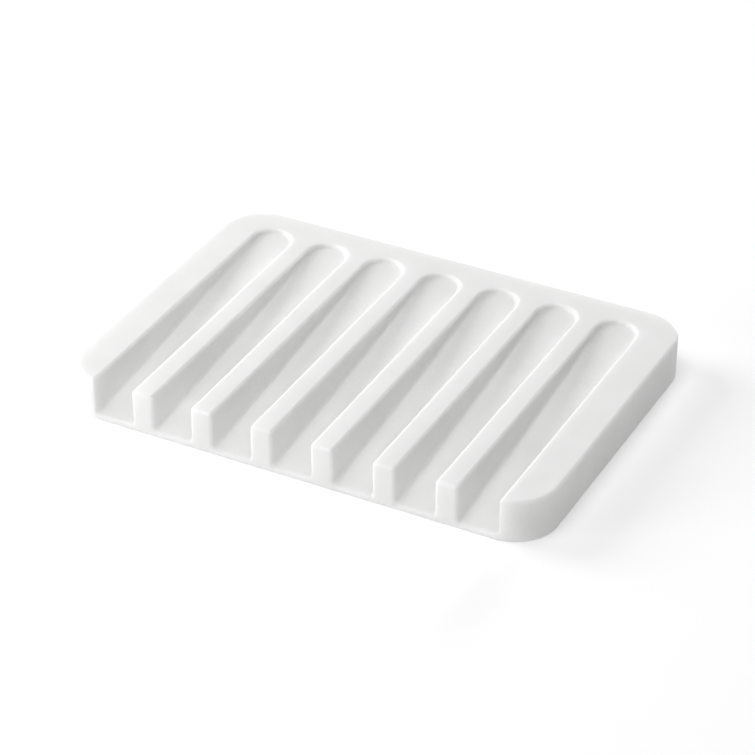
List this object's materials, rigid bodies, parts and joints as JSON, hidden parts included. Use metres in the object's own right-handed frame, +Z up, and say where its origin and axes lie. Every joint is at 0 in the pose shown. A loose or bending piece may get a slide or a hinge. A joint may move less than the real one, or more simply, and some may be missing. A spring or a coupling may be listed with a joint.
{
  "type": "soap tray",
  "caption": "Flat draining soap tray with rounded corners and parallel channels that slope down to an open front edge.",
  "frame": {"origin": "middle of the footprint, on the flat underside that the tray rests on", "axes": "+X along the length, +Y from the open front edge to the closed back rim, +Z up from the underside to the rib tops"},
  "size_m": [0.13, 0.093, 0.0115],
  "materials": {
    "silicone": "soft matte"
  },
  "bodies": {
    "root": {"soap_tray": "silicone"}
  },
  "joints": []
}
